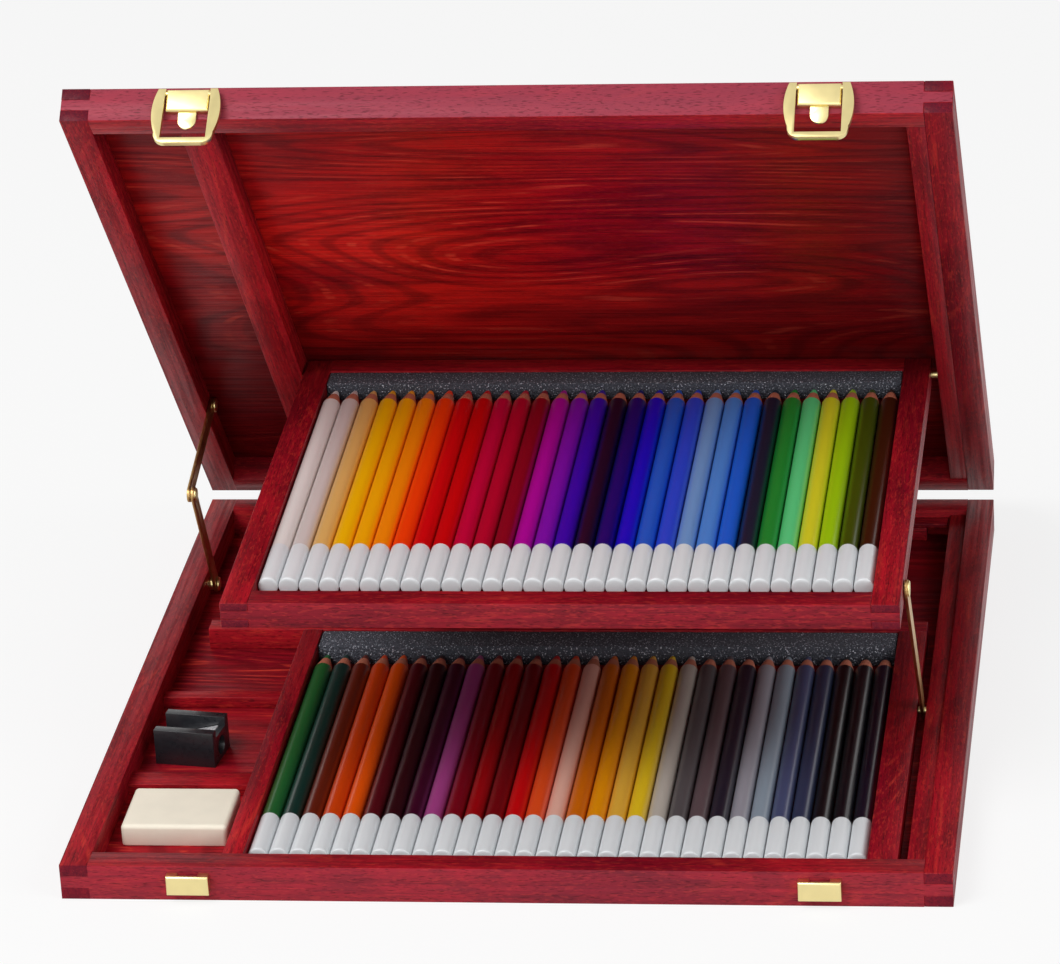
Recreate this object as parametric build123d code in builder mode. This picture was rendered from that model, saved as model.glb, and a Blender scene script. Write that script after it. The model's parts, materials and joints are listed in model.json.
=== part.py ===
from build123d import *
import os
from math import acos, atan2, cos, degrees, hypot, radians, sin

# A flat wooden pencil case, standing open. The lid is hinged at the back, and a lift-up tray is
# pinned to the lid at its rear end and carried by one arm near its front end, so that it rises
# level as the lid opens. A folding stay joins lid and base at the left.
#
# Frame: origin at the middle of the case's underside, +X to the right, +Y to the back, +Z up.
# Lid, tray, arms and bails are drawn where they lie in the closed case, on planes that are then
# turned to the open pose.

# ---------------------------------------------------------------- driving dimensions (mm, degrees)
case_depth = 342.0
base_height = 14.5
lid_height = 14.0
rail_thickness = 11.0
panel_thickness = 3.0
panel_rebate = 5.0
finger_share = 0.33
lid_opening = 48.7

body_gap = 0.3
running_clearance = 0.05
screw_clearance = 0.1

# what the base holds, from left to right and from front to back
compartment_width = 50.0
divider_width = 8.0
divider_height = 9.3
pencil_count = 30
pencil_pitch = 8.0
pencil_diameter = 7.8
pencil_length = 178.0
pencil_cone_length = 14.0
pencil_lead_radius = 1.1
row_side_gap = 0.3
finger_gap = 11.0
foam_gap = 0.5
lower_foam_depth = 14.5
upper_foam_depth = 11.5
strip_width = 11.6
slot_width = 3.7
ledge_width = 7.1
ledge_height = 9.0
foam_height = 8.6
cross_rail_depth = 9.0
cross_rail_end_gap = 9.4
compartment_rail_height = 5.0
front_compartment_rail_start = 70.0
front_compartment_rail_depth = 11.0
rear_compartment_rail_start = 148.0
rear_compartment_rail_depth = 6.0
rear_block_depth = 7.0
rear_block_height = 6.0
rear_ledge_height = 2.0
rear_ledge_side_gap = 1.0
rear_block_end_gap = 10.0

eraser_depth = 33.0
eraser_height = 9.0
eraser_side_gap = 5.5
eraser_right_gap = 2.5
eraser_front_gap = 27.0
eraser_rounding = 1.8

sharpener_length = 25.0
sharpener_depth = 19.5
sharpener_height = 15.0
sharpener_wall = 4.0
sharpener_channel_low = 5.0
sharpener_channel_high = 11.5
sharpener_hole_radius = 4.0
sharpener_hole_height = 5.6
sharpener_hole_depth = 16.0
sharpener_turn = 8.0
sharpener_gap = 0.8
sharpener_start = 96.0
blade_thickness = 0.8
blade_end_gap = 2.2
blade_side_gap = 0.6
blade_screw_radius = 2.1
blade_screw_height = 1.0

# the lift-up tray
tray_height = 10.6
tray_rail = 11.0
tray_floor = 2.5
tray_row_gap = 0.2
tray_slot_gap = 0.8
tray_front_gap = 3.5
tray_finger_share = 0.33

# the laths inside the lid, and the pins that carry the tray's rear end
left_lath_width = 13.3
left_lath_gap = 1.0
lath_edge_gap = 0.2
tray_pin_radius = 1.5
tray_pin_reach = 8.0
tray_pin_to_rear = 4.5

# the tray's arm
arm_width = 7.0
arm_thickness = 1.2
arm_side_gap = 0.4
arm_front_pivot = 24.0
arm_base_pivot = 141.0
arm_base_pivot_height = 4.2
arm_rivet_radius = 1.5
arm_rivet_head_radius = 3.1
arm_rivet_head = 0.8
arm_pin_radius = 1.5
arm_pin_reach = 6.0
open_pivot_clearance = 1.7

# the folding stay
stay_arm_length = 63.0
stay_arm_width = 6.6
stay_arm_thickness = 1.3
stay_gap = 0.4
stay_pivot_from_hinge = 76.8
stay_pivot_below_seam = 7.2
stay_screw_radius = 1.4
stay_screw_reach = 7.0
stay_head_radius = 3.0
stay_head = 1.0
stay_collar_radius = 2.6
knee_rivet_radius = 1.2
knee_clearance = 0.9
knee_head_radius = 2.7
knee_head = 0.8
knee_tab_length = 6.0

# the two butt hinges at the back
hinge_axis_back = 4.4
hinge_length = 34.0
hinge_inset = 62.0
hinge_leaf_width = 9.0
hinge_leaf_thickness = 1.2
hinge_knuckle_radius = 2.4
hinge_pin_radius = 1.0
hinge_pin_head = 0.6
hinge_pin_head_radius = 1.7
hinge_screw_spread = 22.0
wood_screw_radius = 1.2
wood_screw_head_radius = 2.3
wood_screw_head = 0.8
wood_screw_length = 8.0

# the two bail latches at the front
latch_inset = 50.2
latch_plate_width = 16.5
latch_plate_height = 9.0
latch_plate_depth = 3.4
latch_plate_rise = 2.5
latch_edge = 0.5
tongue_width = 7.0
tongue_length = 7.0
tongue_thickness = 1.0
tongue_from_face = 0.5
bail_pivot_depth = 2.4
bail_pivot_drop = 1.4
bail_pin_radius = 0.9
bail_pin_end = 2.6
bail_side_gap = 0.35
bail_length = 24.0
bail_top_width = 23.0
bail_waist_width = 26.6
bail_inner_width = 17.8
bail_bar = 2.4
bail_thickness = 2.2
bail_eye_radius = 1.7
bail_corner = 2.6
bail_swing = 9.0
catch_height = 8.0
catch_rise = 3.8
catch_depth = 4.0
catch_edge = 0.5
catch_notch_width = 8.0
catch_notch_depth = 2.4
catch_notch_height = 4.5
catch_pin_radius = 1.0
catch_pin_length = 7.0

# ---------------------------------------------------------------- places worked out from them
row_width = pencil_count * pencil_pitch
case_width = (
    2 * rail_thickness + compartment_width + divider_width + 2 * row_side_gap
    + row_width + strip_width + slot_width + ledge_width
)
tray_width = row_width + 2 * (tray_rail + tray_row_gap)
tray_depth = 2 * tray_rail + finger_gap + pencil_length + foam_gap + upper_foam_depth
left = -case_width / 2
right = case_width / 2
front = -case_depth / 2
back = case_depth / 2
inner_left = left + rail_thickness
inner_right = right - rail_thickness
inner_front = front + rail_thickness
inner_back = back - rail_thickness
seam = base_height + body_gap
lid_top = seam + lid_height
lid_inside = lid_top - panel_thickness
hinge_y = back + hinge_axis_back
hinge_z = base_height + body_gap / 2
pencil_radius = pencil_diameter / 2

divider_x = inner_left + compartment_width
row_x = divider_x + divider_width + row_side_gap
row_end_x = row_x + row_width
strip_x = row_end_x + row_side_gap
ledge_x = inner_right - ledge_width
slot_x = ledge_x - slot_width
divider_top = panel_thickness + divider_height
pencil_y = inner_front + finger_gap
cross_rail_y = pencil_y + pencil_length + foam_gap + lower_foam_depth

tray_end_x = slot_x + tray_slot_gap
tray_x = tray_end_x - tray_width
tray_y = inner_front + tray_front_gap
tray_end_y = tray_y + tray_depth
tray_z = divider_top + body_gap
tray_top = tray_z + tray_height
tray_inside_z = tray_z + tray_floor
tray_mid_z = tray_z + tray_height / 2
tray_row_x = tray_x + tray_rail + tray_row_gap
tray_pencil_y = tray_y + tray_rail + finger_gap

left_lath_end_x = tray_x - left_lath_gap
left_lath_x = left_lath_end_x - left_lath_width
lath_z = seam + lath_edge_gap


# ---------------------------------------------------------------- the linkages, as plane geometry
def turned(point, pivot, angle):
    """A (y, z) point turned about a pivot, positive from +Y towards +Z."""
    dy, dz = point[0] - pivot[0], point[1] - pivot[1]
    turn = radians(angle)
    return (pivot[0] + dy * cos(turn) - dz * sin(turn), pivot[1] + dy * sin(turn) + dz * cos(turn))


def distance(a, b):
    """The distance between two (y, z) points."""
    return hypot(b[0] - a[0], b[1] - a[1])


def direction(a, b):
    """The direction from a to b in degrees, from +Y towards +Z."""
    return degrees(atan2(b[1] - a[1], b[0] - a[0]))


def meeting(a, reach_a, b, reach_b, side):
    """The point at two distances from two pivots, on the side of the line a to b that is asked for."""
    span = distance(a, b)
    corner = degrees(acos((reach_a**2 + span**2 - reach_b**2) / (2 * reach_a * span)))
    heading = radians(direction(a, b) + side * corner)
    return (a[0] + reach_a * cos(heading), a[1] + reach_a * sin(heading))


def frame_at(pivot, angle):
    """The plane whose closed-case coordinates land where a turn about a pivot puts them."""
    there = Location((0, pivot[0], pivot[1]))
    return Plane(there * Location((0, 0, 0), (angle, 0, 0)) * there.inverse())


def inside(frame, pivot, angle):
    """The plane turned once more, about a pivot given in the frame's own coordinates."""
    return Plane(frame.location * frame_at(pivot, angle).location)


hinge = (hinge_y, hinge_z)
lid_frame = frame_at(hinge, -lid_opening)

# tray: pinned to the lid at its rear end, and to the arm near its front end
tray_pin = (tray_end_y - tray_pin_to_rear, tray_mid_z)
arm_tip = (tray_y + arm_front_pivot, tray_mid_z)
arm_foot = (inner_front + arm_base_pivot, panel_thickness + arm_base_pivot_height)
arm_length = distance(arm_foot, arm_tip)
tray_pin_open = turned(tray_pin, hinge, -lid_opening)
arm_tip_open = meeting(arm_foot, arm_length, tray_pin_open, distance(tray_pin, arm_tip), 1)
arm_closed = direction(arm_foot, arm_tip)
arm_open = direction(arm_foot, arm_tip_open)
tray_tilt = direction(arm_tip_open, tray_pin_open) - direction(arm_tip, tray_pin)
tray_frame = inside(lid_frame, tray_pin, lid_opening + tray_tilt)
arm_frame = frame_at(arm_foot, arm_open - arm_closed)

# stay: two equal arms, with a knee towards the front
stay_foot = (hinge_y - stay_pivot_from_hinge, hinge_z - stay_pivot_below_seam)
stay_head_point = (hinge_y - stay_pivot_from_hinge, hinge_z + stay_pivot_below_seam)
stay_head_open = turned(stay_head_point, hinge, -lid_opening)
knee_closed = meeting(stay_foot, stay_arm_length, stay_head_point, stay_arm_length, 1)
knee_open = meeting(stay_foot, stay_arm_length, stay_head_open, stay_arm_length, 1)
stay_lower_turn = direction(stay_foot, knee_open) - direction(stay_foot, knee_closed)
stay_upper_turn = direction(stay_head_open, knee_open) - direction(stay_head_point, knee_closed)
stay_upper_turn = (stay_upper_turn + 180) % 360 - 180
stay_lower_frame = frame_at(stay_foot, stay_lower_turn)
stay_upper_frame = inside(lid_frame, stay_head_point, lid_opening + stay_upper_turn)

# bails: hung on the latch plates, swung a little way out from the lid
latch_plate_z = seam + latch_plate_rise
bail_pivot = (front - bail_pivot_depth, latch_plate_z + latch_plate_height - bail_pivot_drop)
bail_frame = inside(lid_frame, bail_pivot, -bail_swing)

closed_frame = Plane.XY
os.makedirs("parts", exist_ok=True)


# ---------------------------------------------------------------- helpers
def keep(piece, name):
    """Labels a finished piece and writes its file."""
    piece.part.label = name
    export_step(piece.part, "parts/" + name + ".step")


def block(x0, x1, y0, y1, z0, z1, mode=Mode.ADD):
    """A box from corner to corner, in the frame of the part being made."""
    with Locations(((x0 + x1) / 2, (y0 + y1) / 2, (z0 + z1) / 2)):
        Box(x1 - x0, y1 - y0, z1 - z0, mode=mode)


def rod(x0, x1, at, radius, mode=Mode.ADD):
    """A round bar or hole along X, between two x places, about a (y, z) point."""
    with Locations(Location(((x0 + x1) / 2, at[0], at[1]), (0, 90, 0))):
        Cylinder(radius, x1 - x0, mode=mode)


def post(x, y0, y1, z, radius, mode=Mode.ADD):
    """A round bar or hole along Y, between two y places."""
    with Locations(Location((x, (y0 + y1) / 2, z), (90, 0, 0))):
        Cylinder(radius, y1 - y0, mode=mode)


def side_plane(frame, x):
    """The plane of a side profile in a frame: its first axis is the frame's Y, its second Z."""
    return Plane(frame.location * Plane.YZ.offset(x).location)


def strap(frame, x0, x1, start, end, width, holes):
    """A flat bar with round ends from one pivot to another, with a hole for each (point, radius)."""
    length = distance(start, end)
    middle = ((start[0] + end[0]) / 2, (start[1] + end[1]) / 2)
    with BuildPart() as bar:
        with BuildSketch(side_plane(frame, x0)):
            with Locations(middle):
                SlotCenterToCenter(length, width, rotation=direction(start, end))
            for point, radius in holes:
                with Locations(point):
                    Circle(radius, mode=Mode.SUBTRACT)
        extrude(amount=x1 - x0)
    return bar


class RailBox:
    """Four rails joined by box fingers at their corners, and a panel let into them."""

    def __init__(self, frame, x, y, z, rail, panel, share):
        self.frame = frame
        self.x0, self.x1 = x
        self.y0, self.y1 = y
        self.z0, self.z1 = z
        self.rail = rail
        self.panel_z0, self.panel_z1 = panel
        self.low = self.z0 + (self.z1 - self.z0) * share
        self.high = self.z1 - (self.z1 - self.z0) * share
        self.reach = rail - panel_rebate

    def panel_volume(self, mode):
        """The panel's own volume, which the rails leave free."""
        block(
            self.x0 + self.reach, self.x1 - self.reach,
            self.y0 + self.reach, self.y1 - self.reach,
            self.panel_z0, self.panel_z1, mode,
        )

    def side_rail(self, x0, x1):
        """A side rail: the middle finger at each end belongs to the rail across."""
        block(x0, x1, self.y0, self.y1, self.z0, self.z1)
        for start, end in ((self.y0, self.y0 + self.rail), (self.y1 - self.rail, self.y1)):
            block(x0, x1, start, end, self.low, self.high, Mode.SUBTRACT)
        self.panel_volume(Mode.SUBTRACT)

    def cross_rail(self, y0, y1):
        """A front or back rail: it has the middle finger at each end."""
        block(self.x0 + self.rail, self.x1 - self.rail, y0, y1, self.z0, self.z1)
        block(self.x0, self.x1, y0, y1, self.low, self.high)
        self.panel_volume(Mode.SUBTRACT)


base_box = RailBox(
    closed_frame, (left, right), (front, back), (0, base_height),
    rail_thickness, (0, panel_thickness), finger_share,
)
lid_box = RailBox(
    lid_frame, (left, right), (front, back), (seam, lid_top),
    rail_thickness, (lid_inside, lid_top), finger_share,
)
tray_box = RailBox(
    tray_frame, (tray_x, tray_end_x), (tray_y, tray_end_y), (tray_z, tray_top),
    tray_rail, (tray_z, tray_inside_z), tray_finger_share,
)

hinge_places = (left + hinge_inset + hinge_length / 2, right - hinge_inset - hinge_length / 2)
latch_places = (left + latch_inset, right - latch_inset)
hinge_screw_low = hinge_z - hinge_knuckle_radius - hinge_leaf_width / 2
hinge_screw_high = hinge_z + hinge_knuckle_radius + hinge_leaf_width / 2
side_names = ("left", "right")


def hinge_screw_holes(z, mode=Mode.SUBTRACT):
    """The pilot holes of both hinges in a back rail."""
    for middle in hinge_places:
        for x in (middle - hinge_screw_spread / 2, middle + hinge_screw_spread / 2):
            post(x, back - wood_screw_length, back, z, wood_screw_radius + screw_clearance, mode)


# ---------------------------------------------------------------- the base
with BuildPart(base_box.frame) as base_front_rail:
    base_box.cross_rail(front, inner_front)
    for x in latch_places:
        z = catch_rise + catch_height / 2
        post(x, front, front + catch_pin_length, z, catch_pin_radius + screw_clearance, Mode.SUBTRACT)
keep(base_front_rail, "base_front_rail")

with BuildPart(base_box.frame) as base_rear_rail:
    base_box.cross_rail(inner_back, back)
    hinge_screw_holes(hinge_screw_low)
keep(base_rear_rail, "base_rear_rail")

with BuildPart(base_box.frame) as base_left_rail:
    base_box.side_rail(left, inner_left)
    rod(inner_left - stay_screw_reach, inner_left, stay_foot, stay_screw_radius + screw_clearance,
        Mode.SUBTRACT)
keep(base_left_rail, "base_left_rail")

with BuildPart(base_box.frame) as base_right_rail:
    base_box.side_rail(inner_right, right)
keep(base_right_rail, "base_right_rail")

with BuildPart(base_box.frame) as base_floor_panel:
    base_box.panel_volume(Mode.ADD)
keep(base_floor_panel, "base_floor_panel")

with BuildPart() as compartment_divider:
    block(divider_x, divider_x + divider_width, inner_front, cross_rail_y, panel_thickness, divider_top)
keep(compartment_divider, "compartment_divider")

with BuildPart() as slot_strip:
    block(strip_x, slot_x, inner_front, cross_rail_y, panel_thickness, divider_top)
    rod(slot_x - arm_pin_reach, slot_x, arm_foot, arm_pin_radius + screw_clearance, Mode.SUBTRACT)
keep(slot_strip, "slot_strip")

with BuildPart() as side_ledge:
    block(ledge_x, inner_right, inner_front, inner_back, panel_thickness, panel_thickness + ledge_height)
    rod(ledge_x, ledge_x + arm_pin_reach, arm_foot, arm_pin_radius + screw_clearance, Mode.SUBTRACT)
keep(side_ledge, "side_ledge")

with BuildPart() as base_cross_rail:
    block(inner_left + cross_rail_end_gap, slot_x, cross_rail_y, cross_rail_y + cross_rail_depth,
          panel_thickness, divider_top)
keep(base_cross_rail, "base_cross_rail")

for name, start, depth in (
    ("front_compartment_rail", front_compartment_rail_start, front_compartment_rail_depth),
    ("rear_compartment_rail", rear_compartment_rail_start, rear_compartment_rail_depth),
):
    with BuildPart() as compartment_rail:
        block(inner_left, divider_x, inner_front + start, inner_front + start + depth,
              panel_thickness, panel_thickness + compartment_rail_height)
    keep(compartment_rail, name)

rear_block_top = panel_thickness + rear_block_height
with BuildPart() as rear_block:
    block(divider_x, ledge_x - rear_block_end_gap, inner_back - rear_block_depth, inner_back,
          panel_thickness, rear_block_top)
keep(rear_block, "rear_block")

with BuildPart() as rear_ledge:
    block(divider_x, ledge_x - rear_ledge_side_gap, inner_back - rear_block_depth, inner_back,
          rear_block_top, rear_block_top + rear_ledge_height)
keep(rear_ledge, "rear_ledge")

pencil_tip_y = pencil_y + pencil_length
with BuildPart() as lower_foam_strip:
    block(row_x, row_end_x, pencil_tip_y + foam_gap, cross_rail_y,
          panel_thickness, panel_thickness + foam_height)
keep(lower_foam_strip, "lower_foam_strip")


def pencil_row(frame, first_x, y, floor_z):
    """A row of pencils lying side by side on a floor, with their points to the back."""
    shoulder = y + pencil_length - pencil_cone_length
    with BuildPart(frame) as row:
        for number in range(pencil_count):
            x = first_x + (number + 0.5) * pencil_pitch
            z = floor_z + pencil_radius
            post(x, y, shoulder, z, pencil_radius)
            with Locations(Location((x, shoulder + pencil_cone_length / 2, z), (-90, 0, 0))):
                Cone(pencil_radius, pencil_lead_radius, pencil_cone_length)
    return row


keep(pencil_row(closed_frame, row_x, pencil_y, panel_thickness), "lower_pencils")

eraser_x = inner_left + eraser_side_gap
eraser_end_x = divider_x - eraser_right_gap
eraser_y = inner_front + eraser_front_gap
with BuildPart() as eraser:
    block(eraser_x, eraser_end_x, eraser_y, eraser_y + eraser_depth,
          panel_thickness, panel_thickness + eraser_height)
    fillet(eraser.edges().filter_by(Axis.Z) + eraser.edges().group_by(Axis.Z)[-1], eraser_rounding)
keep(eraser, "eraser")

# the sharpener: two cheeks with a sloping channel between them for the blade, and a pencil hole in
# its right end. It lies askew, left of the lid's lath, and is drawn about its own middle.
sharpener_reach = (
    sharpener_length * cos(radians(sharpener_turn)) + sharpener_depth * sin(radians(sharpener_turn))
) / 2
sharpener_x = left_lath_x - sharpener_gap - sharpener_reach
sharpener_y = inner_front + sharpener_start + sharpener_depth / 2
sharpener_place = Location((sharpener_x, sharpener_y, panel_thickness), (0, 0, -sharpener_turn))
sharpener_frame = Plane(sharpener_place)
half_length = sharpener_length / 2
half_channel = sharpener_depth / 2 - sharpener_wall
with BuildPart(sharpener_frame) as sharpener_body:
    block(-half_length, half_length, -sharpener_depth / 2, sharpener_depth / 2, 0, sharpener_height)
    with BuildSketch(Plane(sharpener_place * Plane.XZ.offset(-half_channel).location)):
        with BuildLine():
            Polyline(
                (-half_length, sharpener_channel_low), (half_length, sharpener_channel_high),
                (half_length, sharpener_height), (-half_length, sharpener_height), close=True,
            )
        make_face()
    extrude(amount=2 * half_channel, mode=Mode.SUBTRACT)
    rod(half_length - sharpener_hole_depth, half_length, (0, sharpener_hole_height),
        sharpener_hole_radius, Mode.SUBTRACT)
keep(sharpener_body, "sharpener_body")

channel_slope = degrees(atan2(sharpener_channel_high - sharpener_channel_low, sharpener_length))
channel_middle = Location(
    (0, 0, (sharpener_channel_low + sharpener_channel_high) / 2), (0, -channel_slope, 0)
)
blade_plane = Plane(sharpener_place * channel_middle)
blade_length = sharpener_length - 2 * blade_end_gap
with BuildPart(blade_plane) as sharpener_blade:
    with Locations((0, 0, blade_thickness / 2)):
        Box(blade_length, 2 * (half_channel - blade_side_gap), blade_thickness)
keep(sharpener_blade, "sharpener_blade")

with BuildPart(blade_plane) as sharpener_screw:
    with Locations((0, 0, blade_thickness + blade_screw_height / 2)):
        Cylinder(blade_screw_radius, blade_screw_height)
    with Locations((0, 0, blade_thickness + blade_screw_height)):
        Box(2 * blade_screw_radius, blade_thickness / 2, blade_thickness, mode=Mode.SUBTRACT)
keep(sharpener_screw, "sharpener_screw")

# ---------------------------------------------------------------- the lid
with BuildPart(lid_box.frame) as lid_front_rail:
    lid_box.cross_rail(front, inner_front)
keep(lid_front_rail, "lid_front_rail")

with BuildPart(lid_box.frame) as lid_rear_rail:
    lid_box.cross_rail(inner_back, back)
    hinge_screw_holes(hinge_screw_high)
keep(lid_rear_rail, "lid_rear_rail")

with BuildPart(lid_box.frame) as lid_left_rail:
    lid_box.side_rail(left, inner_left)
    rod(inner_left - stay_screw_reach, inner_left, stay_head_point,
        stay_screw_radius + screw_clearance, Mode.SUBTRACT)
keep(lid_left_rail, "lid_left_rail")

with BuildPart(lid_box.frame) as lid_right_rail:
    lid_box.side_rail(inner_right, right)
keep(lid_right_rail, "lid_right_rail")

with BuildPart(lid_box.frame) as lid_panel:
    lid_box.panel_volume(Mode.ADD)
keep(lid_panel, "lid_panel")

with BuildPart(lid_frame) as lid_left_lath:
    block(left_lath_x, left_lath_end_x, inner_front, inner_back, lath_z, lid_inside)
    rod(left_lath_end_x - tray_pin_reach, left_lath_end_x, tray_pin,
        tray_pin_radius + screw_clearance, Mode.SUBTRACT)
keep(lid_left_lath, "lid_left_lath")

with BuildPart(lid_frame) as lid_right_lath:
    block(ledge_x, inner_right, inner_front, inner_back, lath_z, lid_inside)
    rod(ledge_x, inner_right, tray_pin, tray_pin_radius + screw_clearance, Mode.SUBTRACT)
keep(lid_right_lath, "lid_right_lath")

for name, x0, x1 in (
    ("tray_pin_left", left_lath_end_x - tray_pin_reach, tray_x + tray_pin_reach),
    ("tray_pin_right", tray_end_x - tray_pin_reach, inner_right),
):
    with BuildPart(lid_frame) as tray_hinge_pin:
        rod(x0, x1, tray_pin, tray_pin_radius)
    keep(tray_hinge_pin, name)

# ---------------------------------------------------------------- the tray
pin_hole = tray_pin_radius + running_clearance
with BuildPart(tray_box.frame) as tray_front_rail:
    tray_box.cross_rail(tray_y, tray_y + tray_rail)
keep(tray_front_rail, "tray_front_rail")

with BuildPart(tray_box.frame) as tray_rear_rail:
    tray_box.cross_rail(tray_end_y - tray_rail, tray_end_y)
    for x0, x1 in (
        (tray_x, tray_x + tray_pin_reach + body_gap),
        (tray_end_x - tray_pin_reach - body_gap, tray_end_x),
    ):
        rod(x0, x1, tray_pin, pin_hole, Mode.SUBTRACT)
keep(tray_rear_rail, "tray_rear_rail")

with BuildPart(tray_box.frame) as tray_left_rail:
    tray_box.side_rail(tray_x, tray_x + tray_rail)
    rod(tray_x, tray_x + tray_pin_reach + body_gap, tray_pin, pin_hole, Mode.SUBTRACT)
keep(tray_left_rail, "tray_left_rail")

with BuildPart(tray_box.frame) as tray_right_rail:
    tray_box.side_rail(tray_end_x - tray_rail, tray_end_x)
    rod(tray_end_x - tray_pin_reach - body_gap, tray_end_x, tray_pin, pin_hole, Mode.SUBTRACT)
    rod(tray_end_x - arm_pin_reach, tray_end_x, arm_tip, arm_rivet_radius + open_pivot_clearance,
        Mode.SUBTRACT)
keep(tray_right_rail, "tray_right_rail")

with BuildPart(tray_box.frame) as tray_floor_panel:
    tray_box.panel_volume(Mode.ADD)
keep(tray_floor_panel, "tray_floor_panel")

tray_tip_y = tray_pencil_y + pencil_length
with BuildPart(tray_frame) as upper_foam_strip:
    block(tray_row_x, tray_row_x + row_width, tray_tip_y + foam_gap,
          tray_end_y - tray_rail, tray_inside_z, tray_inside_z + foam_height - 1)
keep(upper_foam_strip, "upper_foam_strip")

keep(pencil_row(tray_frame, tray_row_x, tray_pencil_y, tray_inside_z), "upper_pencils")

# ---------------------------------------------------------------- the tray's arm
arm_x = tray_end_x + arm_side_gap
arm_end_x = arm_x + arm_thickness
tray_arm = strap(
    arm_frame, arm_x, arm_end_x, arm_foot, arm_tip, arm_width,
    ((arm_foot, arm_pin_radius + running_clearance), (arm_tip, arm_rivet_radius)),
)
keep(tray_arm, "tray_arm")

with BuildPart(arm_frame) as tray_arm_rivet:
    rod(tray_end_x - arm_pin_reach + body_gap, arm_end_x, arm_tip, arm_rivet_radius)
    rod(arm_end_x, arm_end_x + arm_rivet_head, arm_tip, arm_rivet_head_radius)
    fillet(tray_arm_rivet.edges().group_by(Axis.X)[-1], arm_rivet_head / 2)
keep(tray_arm_rivet, "tray_arm_rivet")

with BuildPart() as arm_base_pin:
    rod(slot_x - arm_pin_reach, ledge_x + arm_pin_reach, arm_foot, arm_pin_radius)
keep(arm_base_pin, "arm_base_pin")

# ---------------------------------------------------------------- the folding stay
stay_upper_x = inner_left + stay_gap
stay_upper_end_x = stay_upper_x + stay_arm_thickness
stay_lower_x = stay_upper_end_x + stay_gap
stay_lower_end_x = stay_lower_x + stay_arm_thickness
stay_hole = stay_screw_radius + running_clearance

stay_lower_arm = strap(
    stay_lower_frame, stay_lower_x, stay_lower_end_x, stay_foot, knee_closed, stay_arm_width,
    ((stay_foot, stay_hole), (knee_closed, knee_rivet_radius)),
)
keep(stay_lower_arm, "stay_lower_arm")

stay_upper_arm = strap(
    stay_upper_frame, stay_upper_x, stay_upper_end_x, stay_head_point, knee_closed, stay_arm_width,
    ((stay_head_point, stay_hole), (knee_closed, knee_rivet_radius + knee_clearance)),
)
keep(stay_upper_arm, "stay_upper_arm")

with BuildPart(stay_lower_frame) as knee_rivet:
    rod(stay_upper_x, stay_lower_end_x, knee_closed, knee_rivet_radius)
    rod(stay_lower_end_x, stay_lower_end_x + knee_head, knee_closed, knee_head_radius)
    fillet(knee_rivet.edges().group_by(Axis.X)[-1], knee_head / 2)
keep(knee_rivet, "knee_rivet")

with BuildPart() as stay_base_screw:
    rod(inner_left - stay_screw_reach, stay_lower_end_x + stay_gap, stay_foot, stay_screw_radius)
    rod(inner_left, stay_lower_x - stay_gap / 2, stay_foot, stay_collar_radius)
    rod(stay_lower_end_x + stay_gap / 2, stay_lower_end_x + stay_gap / 2 + stay_head, stay_foot,
        stay_head_radius)
    fillet(stay_base_screw.edges().group_by(Axis.X)[-1], stay_head / 2)
keep(stay_base_screw, "stay_base_screw")

with BuildPart(lid_frame) as stay_lid_screw:
    rod(inner_left - stay_screw_reach, stay_upper_end_x + stay_gap, stay_head_point, stay_screw_radius)
    rod(stay_upper_end_x + stay_gap / 2, stay_upper_end_x + stay_gap / 2 + stay_head,
        stay_head_point, stay_head_radius)
    fillet(stay_lid_screw.edges().group_by(Axis.X)[-1], stay_head / 2)
keep(stay_lid_screw, "stay_lid_screw")


# ---------------------------------------------------------------- the hinges
def hinge_leaf(frame, middle, side, spans):
    """A leaf on a back rail, with its knuckles; side is -1 under the axis and 1 over it."""
    web = hinge_knuckle_radius - hinge_leaf_thickness
    edge = hinge_knuckle_radius + hinge_leaf_width
    x0, x1 = middle - hinge_length / 2, middle + hinge_length / 2
    near, far = sorted((hinge_z + side * web, hinge_z + side * edge))
    low, high = sorted((hinge_z + side * web, hinge_z + side * hinge_knuckle_radius))
    screw_z = hinge_z + side * (hinge_knuckle_radius + hinge_leaf_width / 2)
    with BuildPart(frame) as leaf:
        block(x0, x1, back, back + hinge_leaf_thickness, near, far)
        for start, end in spans:
            block(start, end, back, hinge_y, low, high)
            rod(start, end, hinge, hinge_knuckle_radius)
            rod(start, end, hinge, hinge_pin_radius + running_clearance, Mode.SUBTRACT)
        for x in (middle - hinge_screw_spread / 2, middle + hinge_screw_spread / 2):
            post(x, back, back + hinge_leaf_thickness, screw_z, wood_screw_radius + screw_clearance,
                 Mode.SUBTRACT)
    return leaf


def hinge_screws(frame, z):
    """The four screws that hold one half of both hinges."""
    top = back + hinge_leaf_thickness
    with BuildPart(frame) as screws:
        for middle in hinge_places:
            for x in (middle - hinge_screw_spread / 2, middle + hinge_screw_spread / 2):
                post(x, back - wood_screw_length, top, z, wood_screw_radius)
                post(x, top, top + wood_screw_head, z, wood_screw_head_radius)
    return screws


for name, middle in zip(side_names, hinge_places):
    x0, x1 = middle - hinge_length / 2, middle + hinge_length / 2
    third = hinge_length / 3
    outer_knuckles = ((x0, x0 + third - body_gap), (x1 - third + body_gap, x1))
    centre_knuckle = ((x0 + third, x1 - third),)
    keep(hinge_leaf(closed_frame, middle, -1, outer_knuckles), "hinge_base_leaf_" + name)
    keep(hinge_leaf(lid_frame, middle, 1, centre_knuckle), "hinge_lid_leaf_" + name)
    with BuildPart() as hinge_pin:
        rod(x0, x1, hinge, hinge_pin_radius)
        rod(x0 - hinge_pin_head, x0, hinge, hinge_pin_head_radius)
        rod(x1, x1 + hinge_pin_head, hinge, hinge_pin_head_radius)
    keep(hinge_pin, "hinge_pin_" + name)

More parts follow.
